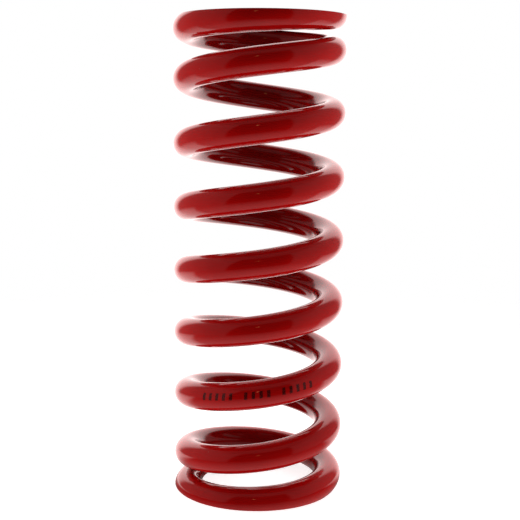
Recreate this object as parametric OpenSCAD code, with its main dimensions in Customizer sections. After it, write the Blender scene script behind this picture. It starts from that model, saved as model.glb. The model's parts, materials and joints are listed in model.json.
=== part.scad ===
// Suspension coil spring, wound right-handed from one round wire, with both ends closed and ground flat.
// The frame stands on the lower ground face: the coil's axis is Z and the origin is on that face.
// The wire is drawn as an end coil, half coils that hinge on each other, and a second end coil.

/* [Coil] */
// Inside diameter of the coil, which slides over the damper body
inside_d = 56; // [50:0.5:62]
// Diameter of the wire with its coating
wire_d = 13.4; // [12:0.1:14]
// Length with no load on it, from ground face to ground face
free_length = 230; // [215:1:260]
// Coils that work, between the two end coils
working_coils = 7; // [6:1:7]

/* [Ends] */
// Thickness left at the ground tip, as a share of the wire
tip_share = 0.25; // [0.2:0.01:0.4]
// Gap between the tip and the coil that closes over it
tip_gap = 0.3; // [0.2:0.05:1]
// Turns from the tip before the coil begins to open
closed_turns = 0.5; // [0.4:0.05:0.6]
// Turns over which the lower end opens to the full pitch
lower_opening = 1; // [0.8:0.05:1.1]
// Turns over which the upper end opens, a little more slowly
upper_opening = 1.25; // [1:0.05:1.35]

/* [Finish] */
// Colour of the coating
coat_colour = "firebrick"; // [firebrick, crimson, darkred]

/* [Detail] */
// Flats round the wire
wire_sides = 24; // [16:4:28]
// Steps in half a coil
half_steps = 18; // [12:2:20]

/* [Hidden] */
wire_r = wire_d / 2;
mean_r = (inside_d + wire_d) / 2;
turns = working_coils + 2;
// The wire starts and ends at the rear, straight above the positive Y axis.
start_angle = 90;
// Height of the wire's centre at the tip, below the ground face because the tip is ground away
tip_z = tip_share * wire_d - wire_r;

// Turns of full pitch that are worth the same rise as an eased opening, from the tip to turn u
function opened(u, opening) =
    let (s = (u - closed_turns) / opening)
    s <= 0 ? 0
    : s >= 1 ? u - closed_turns - opening / 2
    : opening * (pow(s, 3) - pow(s, 4) / 2);

// Each first turn rises just enough to close over its tip, and the rest of the length gives the pitch.
// An end with its slow opening counts as this many turns that rise no more than the first one.
first_rise = wire_d + tip_gap;
function held(opening) = (closed_turns + opening / 2) / (1 - opened(1, opening));
held_turns = held(lower_opening) + held(upper_opening);
open_pitch = (free_length - 2 * tip_z - first_rise * held_turns) / (turns - held_turns);
function closed_pitch(opening) =
    (first_rise - open_pitch * opened(1, opening)) / (1 - opened(1, opening));

// Rise of the wire's centre over the first u turns from a tip, and its pitch there
function rise(u, opening) =
    let (closed = closed_pitch(opening))
    closed * u + (open_pitch - closed) * opened(u, opening);
function eased(s) = s <= 0 ? 0 : s >= 1 ? 1 : 3 * s * s - 2 * pow(s, 3);
function pitch(u, opening) =
    let (closed = closed_pitch(opening))
    closed + (open_pitch - closed) * eased((u - closed_turns) / opening);

// Height and slope of the wire's centre at turn u, counted from the lower tip
function lower_half(u) = u < turns / 2;
function centre_z(u) =
    lower_half(u) ? tip_z + rise(u, lower_opening)
    : free_length - tip_z - rise(turns - u, upper_opening);
function slope(u) =
    let (p = lower_half(u) ? pitch(u, lower_opening) : pitch(turns - u, upper_opening))
    atan(p / (2 * PI * mean_r));

// One section of the wire in the plane through the axis, which cuts the sloping wire a little long.
// Its first corner is on the outside of the coil, so the outside and inside diameters come out exact.
function section(u) =
    let (angle = start_angle + 360 * u, tall_r = wire_r / cos(slope(u)))
    [for (i = [0 : wire_sides - 1])
        let (a = i * 360 / wire_sides, r = mean_r + wire_r * cos(a))
        [r * cos(angle), r * sin(angle), centre_z(u) + tall_r * sin(a)]];

end_steps = 2 * half_steps;
box_size = 4 * mean_r;

// A stretch of the wire from turn u0 to turn u1, closed by a flat face at each end.
module wire(u0, u1, steps) {
    points = [for (k = [0 : steps]) each section(u0 + (u1 - u0) * k / steps)];
    sides = [for (k = [0 : steps - 1]) for (i = [0 : wire_sides - 1])
        let (j = (i + 1) % wire_sides, a = k * wire_sides, b = a + wire_sides)
        [a + i, b + i, b + j, a + j]];
    first = [for (i = [0 : wire_sides - 1]) i];
    last = [for (i = [wire_sides - 1 : -1 : 0]) steps * wire_sides + i];
    polyhedron(points, concat(sides, [first, last]), convexity = 4);
}

// The lowest turn, from the tip until it closes over the tip, ground flat underneath.
module lower_end_coil() {
    color(coat_colour)
    difference() {
        wire(0, 1, end_steps);
        translate([-box_size / 2, -box_size / 2, -box_size])
            cube(box_size);
    }
}

// The left half of working coil k, from the rear seam to the front seam.
module coil_left(k) {
    color(coat_colour)
    wire(k, k + 0.5, half_steps);
}

// The right half of working coil k, from the front seam to the rear seam.
module coil_right(k) {
    color(coat_colour)
    wire(k + 0.5, k + 1, half_steps);
}

// The highest turn, which closes under its own tip, ground flat on top.
module upper_end_coil() {
    color(coat_colour)
    difference() {
        wire(turns - 1, turns, end_steps);
        translate([-box_size / 2, -box_size / 2, free_length])
            cube(box_size);
    }
}

lower_end_coil();
for (k = [1 : working_coils]) {
    coil_left(k);
    coil_right(k);
}
upper_end_coil();
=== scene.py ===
# %% [markdown]
# # A suspension coil spring in Blender
# This lesson finishes a coil spring of the kind that stands round a damper. The real spring is a
# single steel wire, wound hot or cold round a mandrel, ground flat at both ends and coated red.
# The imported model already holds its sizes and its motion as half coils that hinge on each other.
# Here each stretch of wire is made again as a smooth piece, joined so well that no seam shows,
# and given the deep, glossy coating of the real one.

# %% Load the frame
import json
import math
import bmesh
import bpy
from mathutils import Matrix, Vector
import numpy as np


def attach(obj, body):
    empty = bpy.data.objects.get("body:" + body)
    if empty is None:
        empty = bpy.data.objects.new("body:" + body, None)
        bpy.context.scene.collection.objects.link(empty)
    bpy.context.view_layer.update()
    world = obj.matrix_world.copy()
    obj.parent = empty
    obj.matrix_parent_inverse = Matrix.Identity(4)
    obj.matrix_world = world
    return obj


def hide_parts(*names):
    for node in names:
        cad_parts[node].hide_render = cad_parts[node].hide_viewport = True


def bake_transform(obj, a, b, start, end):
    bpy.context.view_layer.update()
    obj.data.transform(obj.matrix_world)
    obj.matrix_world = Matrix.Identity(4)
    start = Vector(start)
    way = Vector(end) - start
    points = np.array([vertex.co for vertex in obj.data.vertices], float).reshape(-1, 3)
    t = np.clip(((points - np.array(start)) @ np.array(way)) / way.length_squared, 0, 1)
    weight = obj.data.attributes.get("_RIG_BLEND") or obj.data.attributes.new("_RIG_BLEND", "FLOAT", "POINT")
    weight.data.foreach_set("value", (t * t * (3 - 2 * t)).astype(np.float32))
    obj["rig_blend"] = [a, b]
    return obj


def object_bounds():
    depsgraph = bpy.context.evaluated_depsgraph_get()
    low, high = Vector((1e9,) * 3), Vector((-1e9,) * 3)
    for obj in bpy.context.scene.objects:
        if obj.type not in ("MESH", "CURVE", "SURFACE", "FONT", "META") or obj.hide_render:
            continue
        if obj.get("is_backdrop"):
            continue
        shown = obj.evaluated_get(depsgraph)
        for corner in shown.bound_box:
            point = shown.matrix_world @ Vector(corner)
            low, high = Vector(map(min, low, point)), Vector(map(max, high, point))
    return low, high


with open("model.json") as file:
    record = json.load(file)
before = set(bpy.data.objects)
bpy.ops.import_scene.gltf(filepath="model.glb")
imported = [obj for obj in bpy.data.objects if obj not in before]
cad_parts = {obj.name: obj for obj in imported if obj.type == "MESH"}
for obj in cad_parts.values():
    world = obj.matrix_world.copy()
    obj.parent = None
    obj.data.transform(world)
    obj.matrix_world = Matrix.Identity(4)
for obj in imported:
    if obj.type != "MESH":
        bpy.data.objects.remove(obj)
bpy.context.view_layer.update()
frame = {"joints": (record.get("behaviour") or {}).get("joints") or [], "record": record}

# %% [markdown]
# ## The driving sizes
# A spring maker works from four numbers: the mean diameter of the coil, the wire, the free length
# and the number of turns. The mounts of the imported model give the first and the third, since the
# seats are marked on the wire's centre-line. The rest are named here, in metres, once.

# %% Driving sizes
mounts = {mount["name"]: mount for mount in frame["record"]["mounts"]}
MEAN_RADIUS = abs(mounts["lower_seat"]["pos_m"][0])
FREE_LENGTH = mounts["upper_seat"]["pos_m"][2]
WIRE_DIAMETER = 0.0134
WIRE_RADIUS = WIRE_DIAMETER / 2
WORKING_COILS = len(frame["joints"]) // 2
TURNS = WORKING_COILS + 2
START_ANGLE = math.pi / 2
print("mean radius", MEAN_RADIUS, "free length", FREE_LENGTH, "turns", TURNS)

# %% [markdown]
# ## The path of the wire
# A plain helix would be a straight line if it were unrolled. A spring with closed ends isn't one:
# it leaves each ground tip almost flat, closes over the tip after one turn, and then eases up to
# its full pitch. An S-shaped ease gives the rise its smooth start and end. Two conditions fix the
# pitches: each first turn must clear its tip, and all the turns together make the free length.

# %% Height of the wire's centre at any turn
TIP_SHARE = 0.25
TIP_GAP = 0.0003
CLOSED_TURNS = 0.5
LOWER_OPENING = 1.0
UPPER_OPENING = 1.25
TIP_HEIGHT = TIP_SHARE * WIRE_DIAMETER - WIRE_RADIUS
FIRST_RISE = WIRE_DIAMETER + TIP_GAP


def opened(turn, opening):
    """Turns at full pitch that rise as much as the eased opening does."""
    s = (turn - CLOSED_TURNS) / opening
    if s <= 0:
        return 0.0
    if s >= 1:
        return turn - CLOSED_TURNS - opening / 2
    return opening * (s**3 - s**4 / 2)


def held(opening):
    """An end with its slow opening counts as this many turns that rise no more than the first."""
    return (CLOSED_TURNS + opening / 2) / (1 - opened(1, opening))


held_turns = held(LOWER_OPENING) + held(UPPER_OPENING)
OPEN_PITCH = (FREE_LENGTH - 2 * TIP_HEIGHT - FIRST_RISE * held_turns) / (TURNS - held_turns)


def rise(turn, opening):
    """Rise of the wire's centre over the first turns from a tip."""
    share = opened(1, opening)
    closed_pitch = (FIRST_RISE - OPEN_PITCH * share) / (1 - share)
    return closed_pitch * turn + (OPEN_PITCH - closed_pitch) * opened(turn, opening)


def centre_height(turn):
    """Height of the wire's centre-line, with turns counted from the lower tip."""
    if turn < TURNS / 2:
        return TIP_HEIGHT + rise(turn, LOWER_OPENING)
    return FREE_LENGTH - TIP_HEIGHT - rise(TURNS - turn, UPPER_OPENING)


print("open pitch in mm:", round(1000 * OPEN_PITCH, 2))

# %% [markdown]
# ## Sweeping the wire
# A curve with a bevel depth would also make a round wire, but its section turns as it climbs and
# its ends are hard to match. Spin with a rise at each step is how a lathe hand would think of it:
# one round section, carried round the axis and lifted a little each time. Every point remembers
# which turn it belongs to, because the shading and the print need to know it later.

# %% Sweep one stretch
WIRE_SIDES = 64
STEPS_PER_TURN = 160
SLOPE = math.atan(OPEN_PITCH / (2 * math.pi * MEAN_RADIUS))


def sweep(bm, start, end):
    """Spin a round section from one turn to another and close both ends."""
    steps = round((end - start) * STEPS_PER_TURN)
    turn_of = bm.verts.layers.float.new("turn")
    section = bmesh.ops.create_circle(bm, radius=WIRE_RADIUS, segments=WIRE_SIDES)["verts"]
    bmesh.ops.scale(bm, vec=(1, 1 / math.cos(SLOPE), 1), verts=section)
    bmesh.ops.rotate(bm, matrix=Matrix.Rotation(math.pi / 2, 3, "X"), verts=section)
    bmesh.ops.translate(bm, vec=(MEAN_RADIUS, 0, centre_height(start)), verts=section)
    angle = START_ANGLE + 2 * math.pi * start
    bmesh.ops.rotate(bm, matrix=Matrix.Rotation(angle, 3, "Z"), verts=section)
    for vert in section:
        vert[turn_of] = start
    first = list(bm.edges)
    geometry = section + first
    for step in range(steps):
        before = start + (end - start) * step / steps
        after = start + (end - start) * (step + 1) / steps
        made = bmesh.ops.spin(
            bm,
            geom=geometry,
            cent=(0, 0, 0),
            axis=(0, 0, 1),
            dvec=(0, 0, centre_height(after) - centre_height(before)),
            angle=2 * math.pi * (after - before),
            steps=1,
        )
        geometry = made["geom_last"]
        for item in geometry:
            if isinstance(item, bmesh.types.BMVert):
                item[turn_of] = after
    last = [item for item in geometry if isinstance(item, bmesh.types.BMEdge)]
    bmesh.ops.contextual_create(bm, geom=first)
    bmesh.ops.contextual_create(bm, geom=last)
    bmesh.ops.recalc_face_normals(bm, faces=bm.faces)


print("one turn takes", STEPS_PER_TURN, "steps of", WIRE_SIDES, "sides")

# %% [markdown]
# ## Grinding the ends flat
# After winding, both ends of a spring are pressed against grinding wheels, which leave a flat
# crescent that is widest at the tip and runs out where the wire climbs away. A boolean would do
# it, but a plane cut is exactly what the wheel does. The wheel's sharp edge is then broken by a
# small bevel, which is what catches the light along a real ground edge.

# %% Cut and break the edges
EDGE_BREAK = 0.00045
BREAK_SEGMENTS = 4
SHARP = math.radians(16)
ON_PLANE = 1e-7
SAME_POINT = 1e-6
SAME_TURN = 1e-4


def grind(bm, height, up):
    """Cut the wire off flat at a height and fill the crescent that is left."""
    cut = bmesh.ops.bisect_plane(
        bm,
        geom=bm.verts[:] + bm.edges[:] + bm.faces[:],
        dist=ON_PLANE,
        plane_co=(0, 0, height),
        plane_no=(0, 0, up),
        clear_outer=True,
    )
    rim = [item for item in cut["geom_cut"] if isinstance(item, bmesh.types.BMEdge)]
    bmesh.ops.edgenet_fill(bm, edges=rim)
    bmesh.ops.remove_doubles(bm, verts=bm.verts, dist=SAME_POINT)
    bmesh.ops.recalc_face_normals(bm, faces=bm.faces)


def break_edges(bm, keep_turn):
    """Bevel every sharp edge apart from those of the seam at keep_turn."""
    turn_of = bm.verts.layers.float["turn"]
    sharp = [
        edge
        for edge in bm.edges
        if len(edge.link_faces) == 2
        and edge.calc_face_angle() > SHARP
        and all(abs(vert[turn_of] - keep_turn) > SAME_TURN for vert in edge.verts)
    ]
    made = bmesh.ops.bevel(
        bm,
        geom=sharp,
        offset=EDGE_BREAK,
        offset_type="OFFSET",
        affect="EDGES",
        segments=BREAK_SEGMENTS,
        profile=0.5,
        material=-1,
        clamp_overlap=True,
    )
    print("broke", len(sharp), "edges into", len(made["faces"]), "faces")


# %% [markdown]
# ## One mirror-smooth surface
# Gloss shows every fault in the shading. Where two stretches meet, Blender would average the
# normals on each side alone, and a thin line would run round the wire in every reflection. The
# true normal of a round wire points straight away from its centre-line, so it is worked out and
# stored, and both sides of a seam then reflect the studio as one surface. The flats and the
# closing faces keep their own direction. The same cell lays a map along and round the wire, in
# metres, which the print and the painted shade on the inside of the coil need later.

# %% Shade the surface and unroll it
TURN_LENGTH = 2 * math.pi * MEAN_RADIUS
TANGENT_STEP = 0.001
ON_WIRE = 0.00003
FACES_OUT = 0.6


def centre_point(turn):
    """The centre-line's point at a turn."""
    angle = START_ANGLE + 2 * math.pi * turn
    across, deep = MEAN_RADIUS * math.cos(angle), MEAN_RADIUS * math.sin(angle)
    return Vector((across, deep, centre_height(turn)))


def wire_tangent(turn):
    """The direction in which the centre-line runs at a turn."""
    return (centre_point(turn + TANGENT_STEP) - centre_point(turn - TANGENT_STEP)).normalized()


def around(point, turn):
    """Angle round the wire, from the outside of the coil up over the top."""
    centre = centre_point(turn)
    out = math.hypot(point.x, point.y) - MEAN_RADIUS
    return math.atan2(point.z - centre.z, out)


def shade_and_unroll(mesh, turns):
    """Store the wire's own normals, and a UV map in metres along and round the wire."""
    normals = []
    uv = mesh.uv_layers.new(name="wire")
    for polygon in mesh.polygons:
        polygon.use_smooth = True
        angles = []
        for loop in polygon.loop_indices:
            index = mesh.loops[loop].vertex_index
            point = mesh.vertices[index].co
            turn = turns[index]
            away = point - centre_point(turn)
            tangent = wire_tangent(turn)
            away -= tangent * away.dot(tangent)
            on_wire = abs(away.length - WIRE_RADIUS) < ON_WIRE
            away.normalize()
            faces_out = polygon.normal.dot(away) > FACES_OUT
            normals.append(away if on_wire and faces_out else polygon.normal.copy())
            angles.append(around(point, turn))
        wrapped = max(angles) - min(angles) > math.pi
        for loop, angle in zip(polygon.loop_indices, angles):
            turn = turns[mesh.loops[loop].vertex_index]
            full = angle + 2 * math.pi if wrapped and angle < 0 else angle
            uv.data[loop].uv = (turn * TURN_LENGTH, full * WIRE_RADIUS)
    mesh.normals_split_custom_set(normals)


print("one turn is", round(1000 * TURN_LENGTH), "mm long on the map")

# %% [markdown]
# ## Materials: a deep red coating
# The coating is a thick, glossy red. Its colour is nearly pure, so almost no green or blue comes
# back from below the surface, and everything paler that shows on it is a reflection. Materials
# are trees of small nodes. A few helpers add a node, feed its inputs and mix two values, so that
# the trees below read as steps.

# %% Helpers for node trees
def put(tree, socket, value):
    """Link an input to another node's output, or give it a plain value."""
    if isinstance(value, bpy.types.NodeSocket):
        tree.links.new(value, socket)
    elif value is not None:
        socket.default_value = value


def add(tree, kind, place, **settings):
    """Add a node of a kind at a place in the tree and set its properties."""
    node = tree.nodes.new(kind)
    node.location = place
    for name, value in settings.items():
        setattr(node, name, value)
    return node


def feed(tree, node, **values):
    """Give a node's inputs plain values or links, by input name with _ for spaces."""
    for name, value in values.items():
        put(tree, node.inputs[name.replace("_", " ")], value)
    return node


def math_node(tree, operation, place, first, second=None, third=None, clamp=False):
    """A Math node with up to three inputs, which may be numbers or sockets."""
    node = add(tree, "ShaderNodeMath", place, operation=operation, use_clamp=clamp)
    for socket, value in zip(node.inputs, (first, second, third)):
        put(tree, socket, value)
    return node.outputs[0]


def remap(tree, place, value, start, end, low=0.0, high=1.0, smooth=False):
    """A change from low to high while a value goes from start to end."""
    ease = "SMOOTHSTEP" if smooth else "LINEAR"
    node = add(tree, "ShaderNodeMapRange", place, interpolation_type=ease)
    feed(tree, node, Value=value, From_Min=start, From_Max=end, To_Min=low, To_Max=high)
    return node.outputs["Result"]


def mix_node(tree, kind, place, share, first, second):
    """A Mix node for numbers (FLOAT) or colours (RGBA)."""
    node = add(tree, "ShaderNodeMix", place, data_type=kind)
    before, after, out = (2, 3, 0) if kind == "FLOAT" else (6, 7, 2)
    put(tree, node.inputs["Factor"], share)
    put(tree, node.inputs[before], first)
    put(tree, node.inputs[after], second)
    return node.outputs[out]


def join_shaders(tree, kind, place, *parts):
    """A Mix or Add shader node with its inputs in order."""
    node = add(tree, kind, place)
    for socket, value in zip(node.inputs, parts):
        put(tree, socket, value)
    return node.outputs[0]


def new_group(name, inputs, outputs):
    """A shader node group with named sockets: (name, type, default) and (name, type)."""
    group = bpy.data.node_groups.new(name, "ShaderNodeTree")
    for label, kind, default in inputs:
        socket = group.interface.new_socket(label, in_out="INPUT", socket_type=kind)
        socket.default_value = default
    for label, kind in outputs:
        group.interface.new_socket(label, in_out="OUTPUT", socket_type=kind)
    start = add(group, "NodeGroupInput", (-900, 0))
    end = add(group, "NodeGroupOutput", (700, 0))
    return group, start, end


print("helpers: put, add, feed, math_node, remap, mix_node, join_shaders, new_group")

# %% [markdown]
# ### The coating's texture as one node group
# Small faults keep the coat from looking like plastic, and since every surface of the spring
# carries the same coat, they are one group. Noise of two sizes makes the fine waviness that
# coaters call orange peel and a slow change of tone, and a Voronoi cell pattern with a tiny
# threshold leaves a speck of dust here and there.

# %% Start the coating group
FLOAT = "NodeSocketFloat"
COLOUR = "NodeSocketColor"
TONE_SCALE = 38.0
DUST_SCALE = 260.0
DUST_SIZE = (0.05, 0.09)
CELLS_WITHOUT_DUST = 0.93
coating_group, given, result = new_group(
    "coating_texture",
    [
        ("Colour", COLOUR, (0.3, 0.002, 0.003, 1)),
        ("Deep Colour", COLOUR, (0.2, 0.001, 0.002, 1)),
        # painted shade: the darker red used on the inside of the coil
        ("Inside Colour", COLOUR, (0.15, 0.001, 0.001, 1)),
        ("Roughness", FLOAT, 0.07),
        ("Peel Size", FLOAT, 700.0),
    ],
    [("Colour", COLOUR), ("Roughness", FLOAT), ("Height", FLOAT)],
)
tree = coating_group
place = add(tree, "ShaderNodeTexCoord", (-900, 300)).outputs["Object"]
slow = add(tree, "ShaderNodeTexNoise", (-600, 300))
slow = feed(tree, slow, Vector=place, Scale=TONE_SCALE, Detail=3.0, Roughness=0.55).outputs["Fac"]
peel = add(tree, "ShaderNodeTexNoise", (-600, 0))
feed(tree, peel, Vector=place, Scale=given.outputs["Peel Size"], Detail=2.0, Roughness=0.5)
dust = add(tree, "ShaderNodeTexVoronoi", (-600, -300), feature="F1")
feed(tree, dust, Vector=place, Scale=DUST_SCALE, Randomness=1.0)
speck = remap(tree, (-350, -300), dust.outputs["Distance"], *DUST_SIZE, 1.0, 0.0)
chosen = feed(tree, add(tree, "ShaderNodeSeparateColor", (-350, -550)), Color=dust.outputs["Color"])
rare = math_node(tree, "GREATER_THAN", (-150, -550), chosen.outputs["Red"], CELLS_WITHOUT_DUST)
dots = math_node(tree, "MULTIPLY", (50, -400), speck, rare)
print("one cell in", round(1 / (1 - CELLS_WITHOUT_DUST)), "holds a speck of dust")

# %% [markdown]
# ### The coating's colour
# The slow noise mixes two reds. On the inside of the coil, which faces the axis, the red is
# painted darker, as painted shade for the shade that falls inside the coil; the map round the
# wire tells where the inside is. Dust makes its own spot rougher and lifts it.

# %% Mix the coating's colour, roughness and height
TONE_RANGE = (0.35, 0.65)
TONE_IN_ROUGHNESS = 0.04
DUST_ROUGHNESS = 0.25
DUST_HEIGHT = 0.8
# where the painted shade on the inside of the coil starts and is full, by the cosine round the wire
INSIDE_SHADE_RANGE = (0.05, -0.5)
tone = remap(tree, (-350, 300), slow, *TONE_RANGE)
outer_reds = given.outputs["Deep Colour"], given.outputs["Colour"]
outside = mix_node(tree, "RGBA", (-100, 300), tone, *outer_reds)
unrolled = add(tree, "ShaderNodeUVMap", (-900, 700), uv_map="wire").outputs["UV"]
split = feed(tree, add(tree, "ShaderNodeSeparateXYZ", (-700, 700)), Vector=unrolled)
turned = math_node(tree, "DIVIDE", (-500, 700), split.outputs["Y"], WIRE_RADIUS)
outward = math_node(tree, "COSINE", (-300, 700), turned)
# mask of painted shade: darker red towards the inside of the coil, where shade falls
inside = remap(tree, (-100, 700), outward, *INSIDE_SHADE_RANGE, smooth=True)
colour = mix_node(tree, "RGBA", (150, 400), inside, outside, given.outputs["Inside Colour"])
plain = given.outputs["Roughness"]
uneven = math_node(tree, "MULTIPLY_ADD", (100, 100), slow, TONE_IN_ROUGHNESS, plain)
rough = math_node(tree, "MULTIPLY_ADD", (300, 0), dots, DUST_ROUGHNESS, uneven)
height = math_node(tree, "MULTIPLY_ADD", (300, -250), dots, DUST_HEIGHT, peel.outputs["Fac"])
feed(tree, result, Colour=colour, Roughness=rough, Height=height)
print("coating group has", len(coating_group.nodes), "nodes")

# %% [markdown]
# ### A coated material
# Every finish starts from the same shader: the group feeds the colour, the roughness and, through
# a Bump node, a wave only four thousandths of a millimetre deep, which is enough to make a
# reflection swim a little. The other finishes change a value or two.

# %% Build a coated material
RED = (0.410, 0.0024, 0.0022, 1)
DEEP_RED = (0.360, 0.0018, 0.0018, 1)
# painted shade: a darker red for the inside of the coil, where the shade falls
PAINTED_SHADE_RED = (0.225, 0.0014, 0.0014, 1)
WIRE_ROUGHNESS = 0.055
PEEL_DEPTH = 0.000004
PEEL_SIZE = 900.0
COATING_IOR = 1.5


def coated_material(name, roughness=WIRE_ROUGHNESS):
    """A glossy red coating. Returns the material, its shader, its texture node and its bump."""
    material = bpy.data.materials.new(name)
    material.use_nodes = True
    tree = material.node_tree
    shader = tree.nodes["Principled BSDF"]
    texture = add(tree, "ShaderNodeGroup", (-500, 200), node_tree=coating_group)
    feed(tree, texture, Colour=RED, Deep_Colour=DEEP_RED, Inside_Colour=PAINTED_SHADE_RED)
    feed(tree, texture, Roughness=roughness, Peel_Size=PEEL_SIZE)
    bump = add(tree, "ShaderNodeBump", (-250, -100))
    feed(tree, bump, Strength=1.0, Distance=PEEL_DEPTH, Height=texture.outputs["Height"])
    feed(tree, shader, Base_Color=texture.outputs["Colour"], Roughness=texture.outputs["Roughness"])
    feed(tree, shader, Normal=bump.outputs["Normal"], IOR=COATING_IOR)
    return material, shader, texture, bump


wire_coating, *_ = coated_material("wire_coating")
print("made", wire_coating.name)

# %% [markdown]
# ### The ground seats
# The flats were ground before coating, and the wheel's arcs still show faintly through the red.
# The arcs run in circles about the coil's axis, so the pattern reads the distance from the axis.
# A seat faces up, not in towards the axis, so it gets none of the painted shade of the coil's inside.

# %% Build the seat material
SEAT_ROUGHNESS = 0.16
ARC_SCALE = 5200.0
ARC_HEIGHT = 0.9
seat_coating, _, seat_texture, seat_bump = coated_material("seat_coating", SEAT_ROUGHNESS)
tree = seat_coating.node_tree
# no painted shade on the seat: its inside colour is the plain red
feed(tree, seat_texture, Inside_Colour=RED)
where = add(tree, "ShaderNodeTexCoord", (-1300, -300)).outputs["Object"]
parts = feed(tree, add(tree, "ShaderNodeSeparateXYZ", (-1100, -300)), Vector=where)
across = math_node(tree, "MULTIPLY", (-900, -200), parts.outputs["X"], parts.outputs["X"])
deep = parts.outputs["Y"]
square = math_node(tree, "MULTIPLY_ADD", (-900, -400), deep, deep, across)
distance = math_node(tree, "SQRT", (-700, -300), square)
arcs = add(tree, "ShaderNodeTexNoise", (-500, -300), noise_dimensions="1D")
feed(tree, arcs, W=distance, Scale=ARC_SCALE, Detail=3.0, Roughness=0.7)
peel = seat_texture.outputs["Height"]
ground = math_node(tree, "MULTIPLY_ADD", (-350, -300), arcs.outputs["Fac"], ARC_HEIGHT, peel)
feed(tree, seat_bump, Height=ground)
print("made", seat_coating.name)

# %% [markdown]
# ### The printed mark
# Makers print a line of ink on one coil to say which spring it is. Here it is a plain row of
# short bars in three groups, which says nothing. The bars are drawn in the UV map, which runs in
# metres along and round the wire, so they follow the coil and bend with it. A fine noise makes
# their edges ragged.

# %% Draw the bars
PRINT_TURN = 2.5
PRINT_LENGTH = 0.0480
PRINT_ANGLE = math.radians(13)
BAR_PITCH = 0.0030
BAR_WIDTH = 0.0013
BAR_HEIGHT = 0.0034
SMEAR = 0.0005
SMEAR_SCALE = 2600.0
printed_coating, printed_shader, printed_texture, _ = coated_material("printed_coating")
tree = printed_coating.node_tree
unrolled = add(tree, "ShaderNodeUVMap", (-1700, 600), uv_map="wire").outputs["UV"]
noise = feed(tree, add(tree, "ShaderNodeTexNoise", (-1700, 350)), Vector=unrolled)
noise = feed(tree, noise, Scale=SMEAR_SCALE, Detail=2.0).outputs["Fac"]
split = feed(tree, add(tree, "ShaderNodeSeparateXYZ", (-1500, 600)), Vector=unrolled)
ragged = math_node(tree, "MULTIPLY_ADD", (-1500, 350), noise, SMEAR, split.outputs["X"])
along = math_node(tree, "SUBTRACT", (-1300, 600), ragged, PRINT_TURN * TURN_LENGTH)
middle = PRINT_ANGLE * WIRE_RADIUS
above = math_node(tree, "SUBTRACT", (-1300, 400), split.outputs["Y"], middle)
phase = math_node(tree, "PINGPONG", (-1100, 600), along, BAR_PITCH / 2)
bars = math_node(tree, "GREATER_THAN", (-900, 600), phase, (BAR_PITCH - BAR_WIDTH) / 2)
offset = math_node(tree, "ABSOLUTE", (-1100, 400), above)
band = math_node(tree, "LESS_THAN", (-900, 400), offset, BAR_HEIGHT / 2)
reach = math_node(tree, "ABSOLUTE", (-1100, 200), along)
ends = math_node(tree, "LESS_THAN", (-900, 200), reach, PRINT_LENGTH / 2)
ink = math_node(tree, "MULTIPLY", (-700, 500), bars, band)
ink = math_node(tree, "MULTIPLY", (-600, 400), ink, ends)
print("the row is", round(1000 * PRINT_LENGTH), "mm long")

# %% [markdown]
# ### The ink
# Leaving out a bar in two places makes the three groups. The same noise wears the ink thin here
# and there, and what is left of it darkens the coating's own colour, so the gloss stays.

# %% Ink the bars
MISSING_BARS = (-0.0075, 0.0075)
INK = (0.012, 0.004, 0.004, 1)
INK_WEAR = (0.3, 0.6)
INK_COVER = (0.55, 0.95)
for row, missing in enumerate(MISSING_BARS):
    hole = math_node(tree, "COMPARE", (-900, -200 * row), along, missing, BAR_PITCH / 2)
    ink = math_node(tree, "SUBTRACT", (-500 + 100 * row, 500), ink, hole, clamp=True)
cover = remap(tree, (-700, 800), noise, *INK_WEAR, *INK_COVER)
ink = math_node(tree, "MULTIPLY", (-300, 600), ink, cover)
printed = mix_node(tree, "RGBA", (-200, 400), ink, printed_texture.outputs["Colour"], INK)
feed(tree, printed_shader, Base_Color=printed)
print("made", printed_coating.name)

# %% [markdown]
# ## Making the pieces
# In the real wire the twist is spread evenly. The frame gathers it into hinges at the front and
# rear of each coil, so each visible piece is laid across a hinge, from one side of the coil to
# the other, and bends between its two half coils. Its two ends then turn exactly with the
# half coils that carry them, and the next piece carries on without a step.

# %% Make one piece
def make_piece(name, start, end, material, ground=None):
    """A closed stretch of wire as an object. ground is the height and side of a ground end."""
    bm = bmesh.new()
    sweep(bm, start, end)
    if ground:
        height, up = ground
        grind(bm, height, up)
        break_edges(bm, end if up < 0 else start)
    turn_of = bm.verts.layers.float["turn"]
    turns = [vert[turn_of] for vert in bm.verts]
    mesh = bpy.data.meshes.new(name)
    bm.to_mesh(mesh)
    bm.free()
    mesh.materials.append(material)
    if ground:
        mesh.materials.append(seat_coating)
        for polygon in mesh.polygons:
            if abs(polygon.center.z - height) < SAME_POINT:
                polygon.material_index = 1
    shade_and_unroll(mesh, turns)
    piece = bpy.data.objects.new(name, mesh)
    bpy.context.scene.collection.objects.link(piece)
    print(name, "has", len(mesh.polygons), "faces")
    return piece


# %% [markdown]
# ### The two end coils
# Most of the first and of the last turn stays rigid: it holds the tip and the ground seat. The
# seat runs out where the wire has climbed by its own radius, at about eight tenths of a turn, so
# the end pieces go a little further, and the first bending piece takes over there.

# %% End coils
END_REACH = 0.85
lower_end = make_piece("lower_end_wire", 0, END_REACH, wire_coating, (0.0, -1))
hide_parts("lower_end_coil")
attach(lower_end, "lower_end_coil")
upper_start = TURNS - END_REACH
upper_end = make_piece("upper_end_wire", upper_start, TURNS, wire_coating, (FREE_LENGTH, 1))
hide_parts("upper_end_coil")
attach(upper_end, "upper_end_coil")

# %% [markdown]
# ### The working coils
# Pieces that cross the rear seams run from the right side of one coil to the left side of the
# next, and pieces that cross the front seams from left to right. The front seam half way up has
# no hinge, because the chain of joints is open there, so that stretch is made as two quarters.

# %% Working coils
OPEN_SEAM = TURNS / 2
QUARTER = 0.25
BESIDE_SEAM = 0.1


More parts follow.
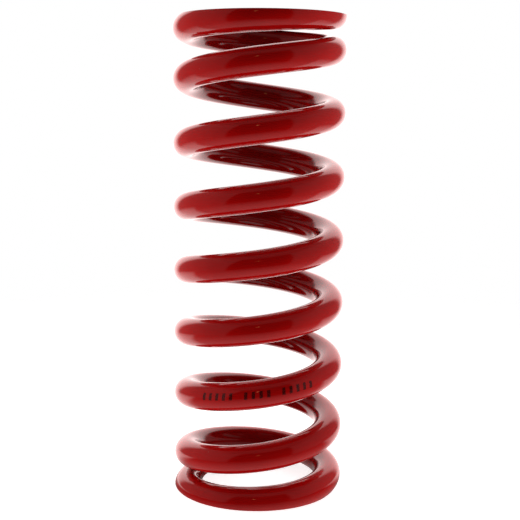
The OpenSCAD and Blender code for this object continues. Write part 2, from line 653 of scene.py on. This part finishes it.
def body_at(turn):
    """The frame's body that holds the wire at a turn."""
    if turn < 1:
        return "lower_end_coil"
    if turn > TURNS - 1:
        return "upper_end_coil"
    side = "left" if turn % 1 < 0.5 else "right"
    return f"coil_{math.floor(turn)}_{side}"


def inner_edge(turn):
    """Where the wire's section at a turn comes nearest to the hinges' middle plane."""
    side = math.cos(START_ANGLE + 2 * math.pi * turn)
    return ((MEAN_RADIUS - WIRE_RADIUS) * side, 0, 0)


def lay_across(seam):
    """Make the stretch of wire that bends across the seam at a turn."""
    side = "rear" if seam == round(seam) else "front"
    before, after = body_at(seam - BESIDE_SEAM), body_at(seam + BESIDE_SEAM)
    material = printed_coating if seam == PRINT_TURN else wire_coating
    name = f"coil_{math.floor(seam)}_{side}_wire"
    if seam == OPEN_SEAM:
        for start, body, part in ((seam - QUARTER, before, "left"), (seam, after, "right")):
            piece = make_piece(f"{name}_{part}", start, start + QUARTER, material)
            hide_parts(body)
            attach(piece, body)
        return
    start = max(seam - QUARTER, END_REACH)
    end = min(seam + QUARTER, TURNS - END_REACH)
    piece = make_piece(name, start, end, material)
    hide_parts(before, after)
    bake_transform(piece, before, after, start=inner_edge(start), end=inner_edge(end))


for half in range(2, 2 * TURNS - 1):
    lay_across(half / 2)

# %% [markdown]
# ## The studio
# A gloss surface is only as good as what it reflects. The spring stands on a pale floor in a
# warm white room that is brightest behind, softer at both sides, and dark in front, where the
# camera and its operator stand. The white behind wraps into the edges of the wire, and the dark
# front keeps the middle of each coil deep red.
#
# One set of lights can't do both jobs, because lamps bright enough to light the red coat would
# show in it as grey patches. So the kind of ray decides. A diffuse ray gathers light from strong
# lamps at the sides and behind, and a mirror ray sees the calmer room. A mirror ray that follows
# a diffuse one sees nothing, as it would only grey the inside of the coil. Diffuse Depth counts
# the diffuse bounces before a ray, so less than a half means that there were none.

# %% Choose by the kind of ray
WARM_WHITE = (1, 0.79, 0.78, 1)
WHITE_BEHIND = 2.0


def by_kind_of_ray(tree, place, in_gloss, from_lamps):
    """The brightness for mirror rays or for diffuse rays, and the Light Path node."""
    x, y = place
    path = add(tree, "ShaderNodeLightPath", (x, y))
    direct = math_node(tree, "LESS_THAN", (x + 200, y + 150), path.outputs["Diffuse Depth"], 0.5)
    calm = math_node(tree, "MULTIPLY", (x + 400, y + 150), in_gloss, direct)
    diffuse = path.outputs["Is Diffuse Ray"]
    return mix_node(tree, "FLOAT", (x + 600, y), diffuse, calm, from_lamps), path


print("mirrored white is", WHITE_BEHIND, "times as bright as paper")

# %% [markdown]
# ### The floor
# A round sheet lies a hair below the spring, so that the seat and the floor never share a plane.

# %% Lay the floor
FLOOR_RADIUS = 0.62
FLOOR_GAP = 0.00005
FLOOR_SIDES = 96
floor_mesh = bpy.data.meshes.new("floor")
bm = bmesh.new()
low = Matrix.Translation((0, 0, -FLOOR_GAP))
bmesh.ops.create_circle(bm, cap_ends=True, radius=FLOOR_RADIUS, segments=FLOOR_SIDES, matrix=low)
bm.to_mesh(floor_mesh)
bm.free()
floor = bpy.data.objects.new("floor", floor_mesh)
bpy.context.scene.collection.objects.link(floor)
floor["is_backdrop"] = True
print("the floor is", 2 * FLOOR_RADIUS, "m across")

# %% [markdown]
# ### The floor's brightness
# To every ray but the eye's, the floor is a glow. In front, its strength falls off at low angles,
# as light from a lamp above does. Behind the spring and to the sides, what the coils mirror turns
# into the white of the room.

# %% Work out the floor's brightness
FLOOR_IN_GLOSS = 0.72
FLOOR_LAMPS = (2.1, 0.4)
LAMPS_END = (-0.5 * MEAN_RADIUS, MEAN_RADIUS)
WHITE_STARTS = (1.1 * MEAN_RADIUS, 2.4 * MEAN_RADIUS)
MOST_ASIDE = 1.5 * MEAN_RADIUS
floor_paint = bpy.data.materials.new("floor_paint")
floor_paint.use_nodes = True
tree = floor_paint.node_tree
tree.nodes.clear()
where = add(tree, "ShaderNodeTexCoord", (-1500, 0)).outputs["Object"]
split = feed(tree, add(tree, "ShaderNodeSeparateXYZ", (-1300, -200)), Vector=where)
backward = split.outputs["Y"]
tilt = add(tree, "ShaderNodeLayerWeight", (-1300, 100))
upright = math_node(tree, "SUBTRACT", (-1100, 100), 1.0, tilt.outputs["Facing"])
from_lamps = remap(tree, (-1100, -100), backward, *LAMPS_END, *FLOOR_LAMPS, smooth=True)
from_lamps = math_node(tree, "MULTIPLY", (-900, -100), upright, from_lamps)
aside = math_node(tree, "ABSOLUTE", (-1100, -400), split.outputs["X"])
aside = math_node(tree, "MINIMUM", (-900, -400), aside, MOST_ASIDE)
outward = math_node(tree, "ADD", (-700, -400), backward, aside)
white = remap(tree, (-500, -400), outward, *WHITE_STARTS, smooth=True)
ahead = math_node(tree, "MULTIPLY", (-900, 100), upright, FLOOR_IN_GLOSS)
in_gloss = mix_node(tree, "FLOAT", (-300, -100), white, ahead, WHITE_BEHIND)
level, path = by_kind_of_ray(tree, (-100, -300), in_gloss, from_lamps)
print("mirrored floor turns white over", [round(1000 * reach) for reach in WHITE_STARTS], "mm")

# %% [markdown]
# ### The floor's paint
# The eye sees pale paint with a little glow of its own, which keeps it as white as the room. The
# paint fades out well before the edge, so there is no horizon.

# %% Paint the floor
PAINT = (0.8, 0.8, 0.8, 1)
PAINT_GLOW = 0.80
FADE = (0.10, 0.95 * FLOOR_RADIUS)
unseen = feed(tree, add(tree, "ShaderNodeEmission", (700, -100)), Color=WARM_WHITE, Strength=level)
paint = feed(tree, add(tree, "ShaderNodeBsdfDiffuse", (500, 350)), Color=PAINT)
glow = feed(tree, add(tree, "ShaderNodeEmission", (500, 200)), Strength=PAINT_GLOW)
seen = join_shaders(tree, "ShaderNodeAddShader", (700, 250), paint.outputs[0], glow.outputs[0])
eye = path.outputs["Is Camera Ray"]
lit = join_shaders(tree, "ShaderNodeMixShader", (900, 100), eye, unseen.outputs[0], seen)
far = feed(tree, add(tree, "ShaderNodeVectorMath", (500, 600), operation="LENGTH"), Vector=where)
fade = remap(tree, (700, 600), far.outputs["Value"], *FADE, smooth=True)
clear = add(tree, "ShaderNodeBsdfTransparent", (900, -100)).outputs[0]
surface = join_shaders(tree, "ShaderNodeMixShader", (1100, 200), fade, lit, clear)
feed(tree, add(tree, "ShaderNodeOutputMaterial", (1300, 200)), Surface=surface)
floor_mesh.materials.append(floor_paint)
print("floor paint has", len(tree.nodes), "nodes")

# %% [markdown]
# ### The room
# The room needs no walls, because only the direction of a ray matters. Its bearing is the angle
# from straight in front, to the left or to the right alike. The brightness steps up once between
# the front and the sides, changes again between the sides and the back, and is dim overhead. The
# same function makes the room for mirror rays and the lamps for diffuse rays.

# %% Build the room
DARK_FRONT = 0.015
PALE_SIDES = 0.26
DIM_TOP = 0.16
ROOM_CORNERS = ((40.5, 47), (132, 148))
LAMPS_FRONT = 0.13
LAMPS_SIDES = 2.7
LAMPS_BEHIND = 2.6
LAMPS_TOP = 0.04
LAMP_CORNERS = ((62, 78), (120, 150))
OVERHEAD = (0.72, 0.86)
world = bpy.data.worlds.new("studio")
bpy.context.scene.world = world
world.use_nodes = True
tree = world.node_tree
tree.nodes.clear()
toward = add(tree, "ShaderNodeTexCoord", (-1300, 0)).outputs["Generated"]
axes = feed(tree, add(tree, "ShaderNodeSeparateXYZ", (-1100, 0)), Vector=toward)
forward = math_node(tree, "MULTIPLY", (-900, -100), axes.outputs["Y"], -1.0)
bearing = math_node(tree, "ARCTAN2", (-700, 0), axes.outputs["X"], forward)
bearing = math_node(tree, "ABSOLUTE", (-500, 0), bearing)
overhead = remap(tree, (-700, -400), axes.outputs["Z"], *OVERHEAD, smooth=True)


def room_level(front, sides, behind, top, corners, height):
    """The brightness by direction, with the corners' bearings in degrees."""
    first, second = ([math.radians(angle) for angle in corner] for corner in corners)
    rising = remap(tree, (-500, height), bearing, *first, front, sides, smooth=True)
    change = behind - sides
    turning = remap(tree, (-500, height - 250), bearing, *second, 0.0, change, smooth=True)
    wall = math_node(tree, "ADD", (-300, height), rising, turning)
    return mix_node(tree, "FLOAT", (-100, height), overhead, wall, top)


in_gloss = room_level(DARK_FRONT, PALE_SIDES, WHITE_BEHIND, DIM_TOP, ROOM_CORNERS, 300)
from_lamps = room_level(LAMPS_FRONT, LAMPS_SIDES, LAMPS_BEHIND, LAMPS_TOP, LAMP_CORNERS, -300)
level, path = by_kind_of_ray(tree, (100, 0), in_gloss, from_lamps)
room = feed(tree, add(tree, "ShaderNodeBackground", (900, 0)), Color=WARM_WHITE, Strength=level)
print("room has", len(tree.nodes), "nodes")

# %% [markdown]
# ### A small lamp, and the world that the eye sees
# One small warm lamp stands in front, a little to the left and well above. It is too weak to
# light the coat, but each coil mirrors it as a tiny speck, which is how the eye tells fresh gloss.
# The eye itself sees plain white all round.

# %% Add the small lamp and close the room
GLINT = 5.0
GLINT_COLOUR = (1, 0.4, 0.15, 1)
GLINT_HEIGHT = 34
GLINT_BEARING = -8
GLINT_EDGE = (2.4, 1.2)
lamp_way = Vector((0, -1, 0))
lamp_way.rotate(Matrix.Rotation(math.radians(-GLINT_HEIGHT), 3, "X"))
lamp_way.rotate(Matrix.Rotation(math.radians(GLINT_BEARING), 3, "Z"))
facing = add(tree, "ShaderNodeVectorMath", (-700, -700), operation="DOT_PRODUCT")
feed(tree, facing, Vector=toward)
facing.inputs[1].default_value = lamp_way
edge = [math.cos(math.radians(angle)) for angle in GLINT_EDGE]
spot = remap(tree, (-500, -700), facing.outputs["Value"], *edge, 0.0, GLINT, smooth=True)
spot = math_node(tree, "MULTIPLY", (700, -300), spot, path.outputs["Is Glossy Ray"])
lamp = feed(tree, add(tree, "ShaderNodeBackground", (900, -200)), Color=GLINT_COLOUR, Strength=spot)
both = join_shaders(tree, "ShaderNodeAddShader", (1100, 0), room.outputs[0], lamp.outputs[0])
plain = add(tree, "ShaderNodeBackground", (900, 200))
feed(tree, plain, Color=(1, 1, 1, 1), Strength=1.0)
eye = path.outputs["Is Camera Ray"]
surface = join_shaders(tree, "ShaderNodeMixShader", (1300, 100), eye, both, plain.outputs[0])
feed(tree, add(tree, "ShaderNodeOutputWorld", (1500, 100)), Surface=surface)
print("lamp stands towards", [round(part, 2) for part in lamp_way])

# %% [markdown]
# ## The camera
# The camera stands about half a metre away, a little below the top of the spring, and looks down
# by eight degrees, so the top rings are seen nearly edge-on and the lower ones from above. The
# Standard view keeps the red as deep as it was mixed.

# %% Camera
CAMERA_DISTANCE = 14.907 * MEAN_RADIUS
CAMERA_HEIGHT = 5.414 * MEAN_RADIUS
CAMERA_PITCH = 0.1441
CAMERA_ROLL = 0.0057
AIM_ASIDE = 0.00066
LENS = 73.8
SENSOR = 36
aim = Vector((AIM_ASIDE, 0, CAMERA_HEIGHT - CAMERA_DISTANCE * math.tan(CAMERA_PITCH)))
camera_data = bpy.data.cameras.new("camera")
camera_data.lens = LENS
camera_data.sensor_width = SENSOR
camera_data.clip_start = 0.01
camera = bpy.data.objects.new("camera", camera_data)
bpy.context.scene.collection.objects.link(camera)
camera.location = (0, -CAMERA_DISTANCE, CAMERA_HEIGHT)
look = (aim - camera.location).to_track_quat("-Z", "Y")
camera.rotation_euler = (look.to_matrix() @ Matrix.Rotation(CAMERA_ROLL, 3, "Z")).to_euler()
bpy.context.scene.camera = camera
bpy.context.scene.view_settings.view_transform = "Standard"
print("camera stands", round(CAMERA_DISTANCE, 3), "m away at", round(CAMERA_HEIGHT, 3), "m")

# %% [markdown]
# ## The visible box
# The visible spring is built to fill the same box as the imported model and never reach past it.
# Only the visible box is printed, in millimetres, before the frame closes.

# %% Sizes, and finish
low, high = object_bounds()
print("visual box in mm:", [round(1000 * side, 1) for side in high - low])
